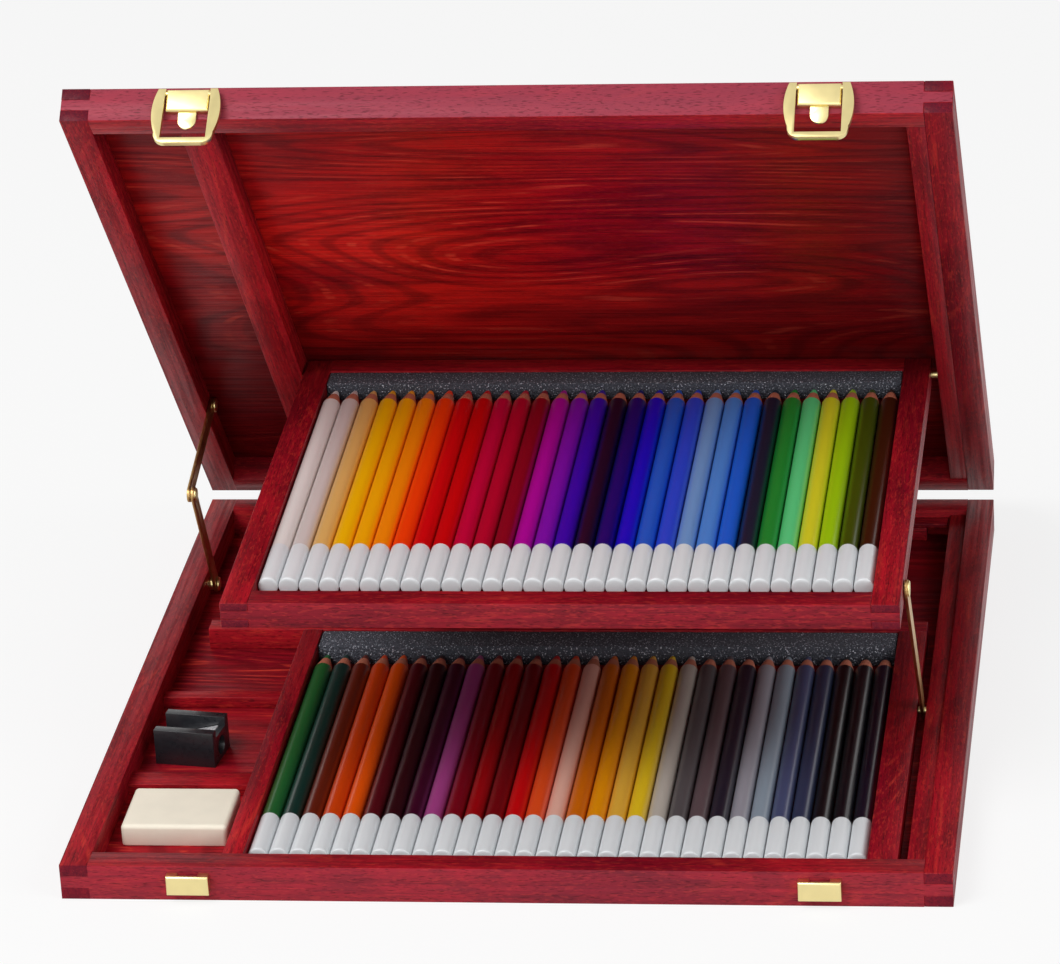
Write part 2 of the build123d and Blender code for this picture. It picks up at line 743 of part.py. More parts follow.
keep(hinge_screws(closed_frame, hinge_screw_low), "hinge_base_screws")
keep(hinge_screws(lid_frame, hinge_screw_high), "hinge_lid_screws")


# ---------------------------------------------------------------- the latches
def latch_plate(x):
    """The plate on the lid's front, with its tongue and the pin that the bail hangs on."""
    half = latch_plate_width / 2
    top = latch_plate_z + latch_plate_height
    with BuildPart(lid_frame) as plate:
        block(x - half, x + half, front - latch_plate_depth, front, latch_plate_z, top)
        outward = Axis((0, 0, 0), lid_frame.y_dir)
        chamfer(plate.faces().sort_by(outward)[0].edges(), latch_edge)
        tongue_y = front - tongue_from_face
        round_z = latch_plate_z - tongue_length + tongue_width / 2
        block(x - tongue_width / 2, x + tongue_width / 2, tongue_y - tongue_thickness, tongue_y,
              round_z, latch_plate_z)
        post(x, tongue_y - tongue_thickness, tongue_y, round_z, tongue_width / 2)
        end = half + bail_side_gap + bail_pin_end
        rod(x - end, x + end, bail_pivot, bail_pin_radius)
    return plate


def bail(x):
    """The bail: a bowed loop that hangs on the plate's pin and hooks under the catch."""
    pivot_z = bail_pivot[1]
    bottom = pivot_z - bail_length
    top = pivot_z + bail_eye_radius
    waist = (top + bottom + bail_bar + bail_corner) / 2
    inner = bail_inner_width / 2
    eye = latch_plate_width / 2 + bail_side_gap
    outer_top = bail_top_width / 2
    outer_waist = bail_waist_width / 2
    corner = bail_bar + bail_corner
    arc_side = outer_top - corner * 0.25
    neck = pivot_z - bail_eye_radius * 2
    with BuildPart() as loop:
        with BuildSketch(Plane.XZ.offset(-bail_pivot[0] - bail_thickness / 2)):
            with BuildLine():
                foot = Line((x - outer_top + corner, bottom), (x + outer_top - corner, bottom))
                ThreePointArc(foot @ 1, (x + arc_side, bottom + corner * 0.25), (x + outer_top, bottom + corner))
                ThreePointArc((x + outer_top, bottom + corner), (x + outer_waist, waist), (x + outer_top, top))
                Polyline(
                    (x + outer_top, top), (x + eye, top), (x + inner, neck), (x + inner, bottom + bail_bar),
                    (x - inner, bottom + bail_bar), (x - inner, neck), (x - eye, top), (x - outer_top, top),
                )
                ThreePointArc((x - outer_top, top), (x - outer_waist, waist), (x - outer_top, bottom + corner))
                ThreePointArc((x - outer_top, bottom + corner), (x - arc_side, bottom + corner * 0.25), foot @ 0)
            make_face()
        extrude(amount=bail_thickness)
        rod(x - bail_top_width, x + bail_top_width, bail_pivot, bail_pin_radius + running_clearance,
            Mode.SUBTRACT)
    with BuildPart(bail_frame) as hung:
        add(loop.part)
    return hung


def catch(x):
    """The catch on the base's front, with a notch behind its face that takes the tongue."""
    half = latch_plate_width / 2
    top = catch_rise + catch_height
    with BuildPart() as hook:
        block(x - half, x + half, front - catch_depth, front, catch_rise, top)
        chamfer(hook.faces().sort_by(Axis.Y)[0].edges(), catch_edge)
        block(x - catch_notch_width / 2, x + catch_notch_width / 2, front - catch_notch_depth, front,
              top - catch_notch_height, top, Mode.SUBTRACT)
    return hook


for name, x in zip(side_names, latch_places):
    keep(latch_plate(x), "latch_plate_" + name)
    keep(bail(x), "latch_bail_" + name)
    keep(catch(x), "catch_" + name)

with BuildPart() as catch_pins:
    for x in latch_places:
        z = catch_rise + catch_height / 2
        post(x, front, front + catch_pin_length, z, catch_pin_radius)
keep(catch_pins, "catch_pins")

# ---------------------------------------------------------------- what the joints need
print("hinge", hinge)
print("tray pin open", tray_pin_open, "tray turn", lid_opening + tray_tilt)
print("arm foot", arm_foot, "arm turn", arm_open - arm_closed, "arm tip open", arm_tip_open)
print("stay foot", stay_foot, "turn", stay_lower_turn)
print("stay head open", stay_head_open, "turn", lid_opening + stay_upper_turn)
print("bail pivot open", turned(bail_pivot, hinge, -lid_opening))
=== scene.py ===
"""Dresses and lights the open pencil case: stained wood, pale brass, foam, lacquered pencils."""

import json
import logging
import math
from dataclasses import dataclass, field, replace
from enum import Enum
from typing import Iterable, Optional

import bpy
import bmesh
from mathutils import Matrix, Vector

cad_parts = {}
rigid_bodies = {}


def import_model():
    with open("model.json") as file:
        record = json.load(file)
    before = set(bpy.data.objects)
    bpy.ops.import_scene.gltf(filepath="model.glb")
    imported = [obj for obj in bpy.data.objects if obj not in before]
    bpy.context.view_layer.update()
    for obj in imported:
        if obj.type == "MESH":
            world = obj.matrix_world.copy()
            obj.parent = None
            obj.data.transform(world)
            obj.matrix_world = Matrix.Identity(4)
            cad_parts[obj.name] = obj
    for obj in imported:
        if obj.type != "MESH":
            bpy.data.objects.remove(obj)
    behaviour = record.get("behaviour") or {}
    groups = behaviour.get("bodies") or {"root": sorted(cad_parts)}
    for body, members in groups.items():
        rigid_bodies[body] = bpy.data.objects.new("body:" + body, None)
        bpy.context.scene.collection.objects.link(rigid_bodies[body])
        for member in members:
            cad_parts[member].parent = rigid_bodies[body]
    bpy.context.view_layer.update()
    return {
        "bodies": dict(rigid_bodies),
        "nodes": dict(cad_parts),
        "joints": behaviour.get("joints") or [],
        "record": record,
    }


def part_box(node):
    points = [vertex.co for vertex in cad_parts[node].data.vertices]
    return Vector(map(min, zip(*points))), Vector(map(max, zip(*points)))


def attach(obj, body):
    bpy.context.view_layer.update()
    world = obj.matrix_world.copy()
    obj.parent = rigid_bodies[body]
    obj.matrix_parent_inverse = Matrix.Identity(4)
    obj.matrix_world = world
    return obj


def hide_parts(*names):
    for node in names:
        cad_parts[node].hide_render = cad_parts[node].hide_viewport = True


logging.basicConfig(level=logging.INFO, format="%(levelname)s %(message)s")
log = logging.getLogger("pencil_case")

MM = 0.001
Colour = tuple[float, float, float]
Triple = tuple[float, float, float]

LID_OPENING = math.radians(48.7)
TRAY_TILT = math.radians(1.9785)
SCREEN_GAMMA = 2.2


# ------------------------------------------------------------------ node helpers
def add_node(tree: bpy.types.NodeTree, kind: str, **values: object) -> bpy.types.Node:
    """Adds a node and sets its properties.

    Args:
        tree: where the node goes.
        kind: the node's type, without the ShaderNode prefix.
        values: the node's properties.
    Returns:
        The new node.
    """
    made = tree.nodes.new("ShaderNode" + kind)
    for key, value in values.items():
        setattr(made, key, value)
    return made


@dataclass(frozen=True)
class NodeKit:
    """A material being made, with short calls for its nodes and links."""

    material: bpy.types.Material

    @classmethod
    def new(cls, name: str) -> "NodeKit":
        """Starts a material that has only its output node.

        Args:
            name: what the finish is called.
        """
        material = bpy.data.materials.new(name)
        material.use_nodes = True
        material.node_tree.nodes.clear()
        return cls(material)

    def node(self, kind: str, **values: object) -> bpy.types.Node:
        """Adds a node to the material and sets its properties."""
        return add_node(self.material.node_tree, kind, **values)

    def group(self, tree: bpy.types.NodeTree, **values: object) -> bpy.types.Node:
        """Places a node group and sets its inputs.

        Args:
            tree: the group.
            values: the inputs by name, with spaces written as underscores.
        Returns:
            The new node.
        """
        made = self.node("Group", node_tree=tree)
        for key, value in values.items():
            made.inputs[key.replace("_", " ")].default_value = value
        return made

    def link(self, source: bpy.types.NodeSocket, target: bpy.types.NodeSocket) -> None:
        """Joins two sockets."""
        self.material.node_tree.links.new(source, target)

    def finish(self, **values: object) -> bpy.types.Node:
        """Adds the surface shader and the output.

        Args:
            values: the shader's inputs by name, with spaces written as underscores.
        Returns:
            The surface shader.
        """
        shader = self.node("BsdfPrincipled")
        for key, value in values.items():
            shader.inputs[key.replace("_", " ")].default_value = value
        output = self.node("OutputMaterial")
        self.link(shader.outputs["BSDF"], output.inputs["Surface"])
        return shader


@dataclass(frozen=True)
class GroupKit:
    """A shader node group being made."""

    tree: bpy.types.NodeTree
    entry: bpy.types.Node
    exit: bpy.types.Node

    @classmethod
    def new(
        cls, name: str, inputs: Iterable[tuple[str, str, object]],
        outputs: Iterable[tuple[str, str]],
    ) -> "GroupKit":
        """Starts a node group.

        Args:
            name: the group's name.
            inputs: name, kind and default of each input.
            outputs: name and kind of each output.
        """
        tree = bpy.data.node_groups.new(name, "ShaderNodeTree")
        for label, kind, default in inputs:
            kind = "NodeSocket" + kind
            socket = tree.interface.new_socket(label, in_out="INPUT", socket_type=kind)
            if default is not None:
                socket.default_value = default
        for label, kind in outputs:
            tree.interface.new_socket(label, in_out="OUTPUT", socket_type="NodeSocket" + kind)
        return cls(tree, tree.nodes.new("NodeGroupInput"), tree.nodes.new("NodeGroupOutput"))

    def take(self, label: str) -> bpy.types.NodeSocket:
        """One of the group's inputs."""
        return self.entry.outputs[label]

    def give(self, label: str, source: bpy.types.NodeSocket) -> None:
        """Sends a value out of the group."""
        self.tree.links.new(source, self.exit.inputs[label])

    def link(self, source: bpy.types.NodeSocket, target: bpy.types.NodeSocket) -> None:
        """Joins two sockets."""
        self.tree.links.new(source, target)

    def node(self, kind: str, **values: object) -> bpy.types.Node:
        """Adds a node to the group and sets its properties."""
        return add_node(self.tree, kind, **values)

    def noise(
        self, vector: bpy.types.NodeSocket, scale: float, detail: float, distortion: float = 0.0
    ) -> bpy.types.NodeSocket:
        """A noise value.

        Args:
            vector: where it is read.
            scale: how many cells a unit holds.
            detail: how many finer layers it has.
            distortion: how much it is stirred.
        Returns:
            The noise's value.
        """
        made = self.node("TexNoise")
        made.inputs["Scale"].default_value = scale
        made.inputs["Detail"].default_value = detail
        made.inputs["Distortion"].default_value = distortion
        self.link(vector, made.inputs["Vector"])
        return made.outputs["Fac"]

    def stretch(self, vector: bpy.types.NodeSocket, scale: Triple) -> bpy.types.NodeSocket:
        """The coordinates multiplied by three factors.

        Args:
            vector: the coordinates.
            scale: the factors along X, Y and Z.
        Returns:
            The stretched coordinates.
        """
        made = self.node("VectorMath", operation="MULTIPLY")
        made.inputs[1].default_value = scale
        self.link(vector, made.inputs[0])
        return made.outputs["Vector"]

    def ramp(
        self, value: bpy.types.NodeSocket, low: float, high: float,
        to_low: float = 0.0, to_high: float = 1.0,
    ) -> bpy.types.NodeSocket:
        """A value mapped smoothly from one range to another.

        Args:
            value: the value.
            low: the value that gives to_low.
            high: the value that gives to_high.
            to_low: the result at the low end.
            to_high: the result at the high end.
        Returns:
            The mapped value.
        """
        made = self.node("MapRange", interpolation_type="SMOOTHSTEP")
        ends = (("From Min", low), ("From Max", high), ("To Min", to_low), ("To Max", to_high))
        for label, number in ends:
            made.inputs[label].default_value = number
        self.link(value, made.inputs["Value"])
        return made.outputs["Result"]

    def maths(self, operation: str, a: object, b: object) -> bpy.types.NodeSocket:
        """Two values, or a value and a number, put through an operation.

        Args:
            operation: the Math node's operation.
            a: a socket or a number.
            b: a socket or a number.
        Returns:
            The result.
        """
        made = self.node("Math", operation=operation)
        for socket, value in zip(made.inputs, (a, b)):
            if isinstance(value, bpy.types.NodeSocket):
                self.link(value, socket)
            else:
                socket.default_value = value
        return made.outputs["Value"]

    def mix(self, factor: bpy.types.NodeSocket, a: object, b: object) -> bpy.types.NodeSocket:
        """Two colours mixed by a factor.

        Args:
            factor: how much of the second colour shows.
            a: a socket or a colour.
            b: a socket or a colour.
        Returns:
            The mixed colour.
        """
        made = self.node("Mix", data_type="RGBA")
        self.link(factor, made.inputs[0])
        for socket, value in zip(made.inputs[6:8], (a, b)):
            if isinstance(value, bpy.types.NodeSocket):
                self.link(value, socket)
            else:
                socket.default_value = (*value, 1.0)
        return made.outputs[2]


# ------------------------------------------------------------------ finishes
class Grain(Enum):
    """Which way a piece of wood was cut: the axis its grain runs along."""

    ACROSS = "x"
    ALONG = "y"


def wood_grain() -> bpy.types.NodeTree:
    """The group that draws stained wood, with the grain along its X axis, and, where its inputs ask
    for them, a painted sheen and a painted glow with painted shade around the glow.

    Returns:
        The node group.
    """
    kit = GroupKit.new(
        "stained grain",
        (
            ("Vector", "Vector", None),
            ("Dark", "Color", (0.05, 0.003, 0.006, 1)),
            ("Middle", "Color", (0.25, 0.01, 0.02, 1)),
            ("Light", "Color", (0.45, 0.03, 0.03, 1)),
            ("Figure", "Float", 0.5),
            ("Pores", "Float", 0.6),
            ("End", "Float", 0.0),
            ("PaintedSheen", "Float", 0.0),
            ("PaintedGlow", "Float", 1.0),
            ("Pale", "Color", (0.74, 0.060, 0.034, 1)),
        ),
        (("Color", "Color"), ("Roughness", "Float"), ("Height", "Float")),
    )
    vector, dark, pale = kit.take("Vector"), kit.take("Dark"), kit.take("Pale")
    # The first colour is a painted sheen: a pinker red that stands in for light reflected by front
    # faces. end_red is the darker end grain.
    painted_sheen_red, end_red = (0.31, 0.050, 0.080), (0.060, 0.003, 0.016)
    broad = kit.ramp(kit.noise(kit.stretch(vector, (3.5, 22, 22)), 1.0, 4.0, 0.8), 0.30, 0.70)
    streak = kit.ramp(kit.noise(kit.stretch(vector, (13, 520, 520)), 1.0, 4.0, 0.4), 0.38, 0.66)
    line = kit.ramp(kit.noise(kit.stretch(vector, (34, 1300, 1300)), 1.0, 2.0, 0.2), 0.50, 0.70)
    pore = kit.ramp(kit.noise(kit.stretch(vector, (330, 2300, 2300)), 1.0, 1.5), 0.56, 0.68)
    mottle = kit.ramp(kit.noise(kit.stretch(vector, (30, 95, 95)), 1.0, 2.5, 0.5), 0.44, 0.68)
    fleck = kit.ramp(kit.noise(kit.stretch(vector, (300, 1200, 1200)), 1.0, 1.0, 0.5), 0.54, 0.68)

    swell = kit.noise(kit.stretch(vector, (1.6, 9, 9)), 1.0, 1.5, 0.3)
    contour = kit.maths("SINE", kit.maths("MULTIPLY", swell, 290.0), 0.0)
    broken = kit.ramp(kit.noise(kit.stretch(vector, (45, 420, 420)), 1.0, 2.0), 0.42, 0.60)
    patch = kit.ramp(kit.noise(kit.stretch(vector, (14, 60, 60)), 1.0, 2.0), 0.40, 0.62)
    crest = kit.maths("MULTIPLY", kit.ramp(contour, 0.70, 1.0), patch)
    pale_ring = kit.maths("MULTIPLY", crest, broken)
    dark_ring = kit.maths("MULTIPLY", kit.ramp(contour, -0.2, -1.0), 0.55)
    # Painted shade: away from the painted glow the colour is pulled towards Dark; pieces without a
    # glow stay as they are.
    painted_shade_off_glow = kit.maths("SUBTRACT", 1.0, kit.take("PaintedGlow"))

    figure, pores = kit.take("Figure"), kit.take("Pores")
    colour = kit.mix(broad, kit.take("Middle"), kit.take("Light"))
    for mask, share, tone in (
        (mottle, 0.32, dark),
        (streak, 0.30, dark),
        (dark_ring, figure, dark),
        (line, 0.42, dark),
        (pale_ring, figure, pale),
        (fleck, kit.maths("MULTIPLY", pores, 0.4), pale),
        (painted_shade_off_glow, 0.68, dark),
    ):
        colour = kit.mix(kit.maths("MULTIPLY", mask, share), colour, tone)
    # Painted sheen: faces in the sheen mask are tinted pinker, as if they reflected light.
    colour = kit.mix(kit.take("PaintedSheen"), colour, painted_sheen_red)
    colour = kit.mix(kit.maths("MULTIPLY", pore, pores), colour, dark)
    colour = kit.mix(kit.maths("MULTIPLY", kit.take("End"), 0.6), colour, end_red)
    kit.give("Color", colour)
    kit.give("Roughness", kit.ramp(streak, 0.0, 1.0, 0.38, 0.52))
    kit.give("Height", kit.maths("SUBTRACT", kit.maths("MULTIPLY", streak, -0.25), pore))
    return kit.tree


@dataclass(frozen=True)
class StainedWood:
    """A red-brown stain under a satin varnish, with a painted sheen on front faces and a painted
    glow where asked for.
    """

    name: str
    dark: Colour = (0.030, 0.0006, 0.0030)
    middle: Colour = (0.200, 0.0028, 0.0125)
    light: Colour = (0.460, 0.0100, 0.0190)
    figure: float = 0.25
    pores: float = 0.5
    gloss: float = 0.13
    painted_sheen: float = 0.0
    # Centre of the painted glow in object coordinates, or None for no glow.
    glow: Optional[Vector] = None
    painted_glow_reach: Triple = (4.6, 7.0, 7.0)
    board_step: Triple = (1.37, 0.71, 0.43)

    def make(
        self, grain: bpy.types.NodeTree, way: Grain, turn: float, seed: int
    ) -> bpy.types.Material:
        """Makes the finish for a piece.

        Args:
            grain: the group that draws the wood.
            way: the axis that the grain runs along.
            turn: how far the piece leans back, in radians.
            seed: which stretch of wood it is cut from.
        Returns:
            The material.
        """
        kit = NodeKit.new(self.name)
        place = kit.node("TexCoord")
        lean = kit.node("Mapping", vector_type="POINT")
        lean.inputs["Rotation"].default_value = (turn, 0, 0)
        lay = kit.node("Mapping", vector_type="POINT")
        lay.inputs["Rotation"].default_value = (0, 0, math.pi / 2 if way is Grain.ALONG else 0)
        lay.inputs["Location"].default_value = tuple(seed * step for step in self.board_step)
        wood = kit.group(
            grain, Dark=(*self.dark, 1), Middle=(*self.middle, 1), Light=(*self.light, 1),
            Figure=self.figure, Pores=self.pores,
        )
        shader = kit.finish(Specular_IOR_Level=self.gloss)
        back = Vector((0, math.cos(turn), -math.sin(turn)))
        length = Vector((1, 0, 0)) if way is Grain.ACROSS else back
        kit.link(self.facing(kit, place, length, both=True, share=1.0), wood.inputs["End"])
        # Painted sheen: a mask of the faces that look to the front, which get the pinker painted
        # sheen.
        if self.painted_sheen:
            front = self.facing(kit, place, -back, both=False, share=self.painted_sheen)
            kit.link(front, wood.inputs["PaintedSheen"])
        # Painted glow: lighter near its centre, with painted shade away from it.
        if self.glow:
            kit.link(self.painted_glow_pool(kit, place), wood.inputs["PaintedGlow"])
        bump = kit.node("Bump")
        bump.inputs["Strength"].default_value = 0.25
        bump.inputs["Distance"].default_value = 0.00012
        kit.link(place.outputs["Object"], lean.inputs["Vector"])
        kit.link(lean.outputs["Vector"], lay.inputs["Vector"])
        kit.link(lay.outputs["Vector"], wood.inputs["Vector"])
        kit.link(wood.outputs["Color"], shader.inputs["Base Color"])
        kit.link(wood.outputs["Roughness"], shader.inputs["Roughness"])
        kit.link(wood.outputs["Height"], bump.inputs["Height"])
        kit.link(bump.outputs["Normal"], shader.inputs["Normal"])
        return kit.material

    def facing(
        self, kit: NodeKit, place: bpy.types.Node, way: Vector, both: bool, share: float
    ) -> bpy.types.NodeSocket:
        """A mask of the faces that look one way.

        Args:
            kit: the material being made.
            place: its texture coordinates.
            way: the direction.
            both: whether the opposite faces count too.
            share: the mask's highest value.
        Returns:
            The mask.
        """
        towards = kit.node("VectorMath", operation="DOT_PRODUCT")
        towards.inputs[1].default_value = way
        whole = kit.node("Math", operation="ABSOLUTE" if both else "MAXIMUM")
        whole.inputs[1].default_value = 0.0
        sharp = kit.node("MapRange")
        sharp.inputs["From Min"].default_value = 0.80
        sharp.inputs["From Max"].default_value = 0.95
        sharp.inputs["To Max"].default_value = share
        kit.link(place.outputs["Normal"], towards.inputs[0])
        kit.link(towards.outputs["Value"], whole.inputs[0])
        kit.link(whole.outputs["Value"], sharp.inputs["Value"])
        return sharp.outputs["Result"]

    def painted_glow_pool(self, kit: NodeKit, place: bpy.types.Node) -> bpy.types.NodeSocket:
        """A mask for the painted glow: full near its centre and falling off around it, so that away
        from it the panel gets painted shade.

        Args:
            kit: the material being made.
            place: its texture coordinates.
        Returns:
            The mask.
        """
        from_spot = kit.node("VectorMath", operation="SUBTRACT")
        from_spot.inputs[1].default_value = self.glow
        squeezed = kit.node("VectorMath", operation="MULTIPLY")
        squeezed.inputs[1].default_value = self.painted_glow_reach
        far = kit.node("VectorMath", operation="LENGTH")
        fall = kit.node("MapRange", interpolation_type="SMOOTHSTEP")
        fall.inputs["From Min"].default_value = 1.15
        fall.inputs["From Max"].default_value = 0.10
        kit.link(place.outputs["Object"], from_spot.inputs[0])
        kit.link(from_spot.outputs["Vector"], squeezed.inputs[0])
        kit.link(squeezed.outputs["Vector"], far.inputs[0])
        kit.link(far.outputs["Value"], fall.inputs["Value"])
        return fall.outputs["Result"]


def scuffs() -> bpy.types.NodeTree:
    """The group that gives a surface faint, uneven handling marks.

    Returns:
        The node group.
    """
    kit = GroupKit.new(
        "handling marks",
        (("Color", "Color", (0.5, 0.5, 0.5, 1)), ("Low", "Float", 0.3), ("High", "Float", 0.4),
         ("Size", "Float", 300.0), ("Change", "Float", 0.06)),
        (("Color", "Color"), ("Roughness", "Float"), ("Height", "Float")),
    )
    place = kit.node("TexCoord")
    cloud = kit.node("TexNoise")
    cloud.inputs["Detail"].default_value = 4.0
    kit.link(kit.take("Size"), cloud.inputs["Scale"])
    kit.link(place.outputs["Object"], cloud.inputs["Vector"])
    soft = kit.ramp(cloud.outputs["Fac"], 0.25, 0.75)
    shade = kit.node("HueSaturation")
    kit.link(kit.take("Color"), shade.inputs["Color"])
    lift = kit.maths("ADD", kit.maths("MULTIPLY", soft, kit.take("Change")), 1.0)
    kit.link(lift, shade.inputs["Value"])
    rough = kit.node("MapRange")
    kit.link(soft, rough.inputs["Value"])
    kit.link(kit.take("Low"), rough.inputs["To Min"])
    kit.link(kit.take("High"), rough.inputs["To Max"])
    kit.give("Color", shade.outputs["Color"])
    kit.give("Roughness", rough.outputs["Result"])
    kit.give("Height", cloud.outputs["Fac"])
    return kit.tree


@dataclass(frozen=True)
class Plain:
    """A finish of one colour with faint handling marks, such as metal, plastic, vinyl or cedar."""

    name: str
    colour: Colour
    low: float
    high: float
    size: float = 300.0
    change: float = 0.06
    metallic: float = 0.0
    coat: float = 0.0
    coat_roughness: float = 0.12
    bump: float = 0.05

    def make(self, marks: bpy.types.NodeTree) -> bpy.types.Material:
        """Makes the finish.

        Args:
            marks: the group that draws handling marks.
        Returns:
            The material.
        """
        kit = NodeKit.new(self.name)
        worn = kit.group(marks, Color=(*self.colour, 1), Low=self.low, High=self.high,
                         Size=self.size, Change=self.change)
        shader = kit.finish(
            Metallic=self.metallic, Coat_Weight=self.coat, Coat_Roughness=self.coat_roughness,
        )
        bump = kit.node("Bump")
        bump.inputs["Strength"].default_value = self.bump
        bump.inputs["Distance"].default_value = 0.0001
        kit.link(worn.outputs["Color"], shader.inputs["Base Color"])
        kit.link(worn.outputs["Roughness"], shader.inputs["Roughness"])
        kit.link(worn.outputs["Height"], bump.inputs["Height"])
        kit.link(bump.outputs["Normal"], shader.inputs["Normal"])
        return kit.material


@dataclass(frozen=True)
class Foam:
    """Dark open-cell foam, with a near-black tone that is partly the foam's own colour and partly
    painted shade in the cell hollows, and painted glints for cell walls that catch the light.
    """

    name: str = "speckled foam"
    hollow_shade: Colour = (0.020, 0.022, 0.030)
    wall: Colour = (0.085, 0.092, 0.118)
    painted_glint: Colour = (0.62, 0.64, 0.72)
    cell_scale: float = 1100.0
    speck_scale: float = 1400.0

    def make(self) -> bpy.types.Material:
        """Makes the finish.

        Returns:
            The material.
        """
        kit = NodeKit.new(self.name)
        place = kit.node("TexCoord")
        cells = kit.node("TexVoronoi", feature="F1")
        cells.inputs["Scale"].default_value = self.cell_scale
        cloud = kit.node("TexNoise")
        cloud.inputs["Scale"].default_value = self.speck_scale
        cloud.inputs["Detail"].default_value = 2.0
        for texture in (cells, cloud):
            kit.link(place.outputs["Object"], texture.inputs["Vector"])
        # The foam's dark tone mixed at random with a near-black, partly its own colour and partly
        # painted shade in the cell hollows.
        body = kit.node("Mix", data_type="RGBA")
        body.inputs[6].default_value = (*self.hollow_shade, 1)
        body.inputs[7].default_value = (*self.wall, 1)
        kit.link(cloud.outputs["Fac"], body.inputs[0])
        # Painted glints: bright specks in the base colour where cell walls would catch the light.
        painted_glint_mask = kit.node("MapRange", interpolation_type="SMOOTHSTEP")
        painted_glint_mask.inputs["From Min"].default_value = 0.59
        painted_glint_mask.inputs["From Max"].default_value = 0.72
        kit.link(cloud.outputs["Fac"], painted_glint_mask.inputs["Value"])
        top = kit.node("Mix", data_type="RGBA")
        top.inputs[7].default_value = (*self.painted_glint, 1)
        kit.link(painted_glint_mask.outputs["Result"], top.inputs[0])
        kit.link(body.outputs[2], top.inputs[6])
        bump = kit.node("Bump")
        bump.inputs["Strength"].default_value = 0.9
        bump.inputs["Distance"].default_value = 0.0006
        kit.link(cells.outputs["Distance"], bump.inputs["Height"])
        shader = kit.finish(Roughness=0.85)
        kit.link(top.outputs[2], shader.inputs["Base Color"])
        kit.link(bump.outputs["Normal"], shader.inputs["Normal"])
        return kit.material


@dataclass(frozen=True)
class Lacquer:
    """Satin pencil lacquer whose colour comes with each pencil."""

    name: str
    roughness: float
    coat: float

    def make(self) -> bpy.types.Material:
        """Makes the finish.

        Returns:
            The material.
        """
        kit = NodeKit.new(self.name)
        pigment = kit.node("Attribute", attribute_type="GEOMETRY", attribute_name="pigment")
        place = kit.node("TexCoord")
        cloud = kit.node("TexNoise")
        cloud.inputs["Scale"].default_value = 900.0
        kit.link(place.outputs["Object"], cloud.inputs["Vector"])
        shader = kit.finish(Roughness=self.roughness, Coat_Weight=self.coat, Coat_Roughness=0.22)
        bump = kit.node("Bump")
        bump.inputs["Strength"].default_value = 0.04
        bump.inputs["Distance"].default_value = 0.0001
        kit.link(pigment.outputs["Color"], shader.inputs["Base Color"])
        kit.link(cloud.outputs["Fac"], bump.inputs["Height"])
        kit.link(bump.outputs["Normal"], shader.inputs["Normal"])
        return kit.material


@dataclass
class Finishes:
    """All the finishes, made once."""

    grain: bpy.types.NodeTree = field(init=False)
    marks: bpy.types.NodeTree = field(init=False)
    made: dict[str, bpy.types.Material] = field(default_factory=dict)

    def __post_init__(self) -> None:
        """Makes the shared groups and the plain finishes."""
        self.grain = wood_grain()
        self.marks = scuffs()
        for plain in (
            Plain("pale brass", (0.82, 0.69, 0.33), 0.28, 0.35, size=150, metallic=1.0, bump=0.015),
            # Darker brass for the stays and the tray arm: the darkening is a painted reflection of
            # the dark wood.
            Plain("reflection-darkened brass", (0.50, 0.32, 0.13), 0.30, 0.46, metallic=1.0, bump=0.06),
            Plain("bright steel", (0.86, 0.87, 0.89), 0.18, 0.34, metallic=0.4),
            Plain("cream vinyl", (0.88, 0.82, 0.68), 0.50, 0.62, size=90, change=0.05,
                  bump=0.12),
            Plain("black plastic", (0.012, 0.013, 0.016), 0.26, 0.40, size=700,
                  coat=0.2, bump=0.1),
            Plain("dipped cap", (0.74, 0.77, 0.79), 0.34, 0.38, size=40, change=0.02,
                  coat=0.25, coat_roughness=0.30, bump=0.0),
            Plain("cedar", (0.42, 0.13, 0.075), 0.55, 0.70, size=1400, change=0.25, bump=0.2),
        ):
            self.made[plain.name] = plain.make(self.marks)
        self.made["foam"] = Foam().make()
        self.made["lacquer"] = Lacquer("satin lacquer", 0.34, 0.35).make()
        self.made["core"] = Lacquer("pencil core", 0.62, 0.0).make()

    def wood(self, stain: StainedWood, way: Grain, turn: float, seed: int) -> bpy.types.Material:
        """A stained wood for one piece."""
        return stain.make(self.grain, way, turn, seed)

    def __getitem__(self, name: str) -> bpy.types.Material:
        """A finish by name."""
        return self.made[name]


# ------------------------------------------------------------------ making pieces
def put_down() -> None:
    """Leaves edit mode and selects nothing."""
    if bpy.context.object is not None and bpy.context.object.mode != "OBJECT":
        bpy.ops.object.mode_set(mode="OBJECT")
    bpy.ops.object.select_all(action="DESELECT")


def pick(obj: bpy.types.Object) -> None:
    """Selects one piece alone and makes it active.

    Args:
        obj: the piece.
    """
    put_down()
    obj.select_set(True)
    bpy.context.view_layer.objects.active = obj


def dress(obj: bpy.types.Object, *materials: bpy.types.Material) -> None:
    """Gives a piece its finishes, in the order of its material numbers.

    Args:
        obj: the piece.
        materials: its finishes.
    """
    numbers = [face.material_index for face in obj.data.polygons]
    obj.data.materials.clear()
    for material in materials:
        obj.data.materials.append(material)
    for face, number in zip(obj.data.polygons, numbers):
        face.material_index = min(number, len(materials) - 1)


def settle(obj: bpy.types.Object) -> None:
    """Applies a piece's place, so that its object sits at the origin."""
    pick(obj)
    bpy.ops.object.transform_apply(location=True, rotation=True, scale=True)


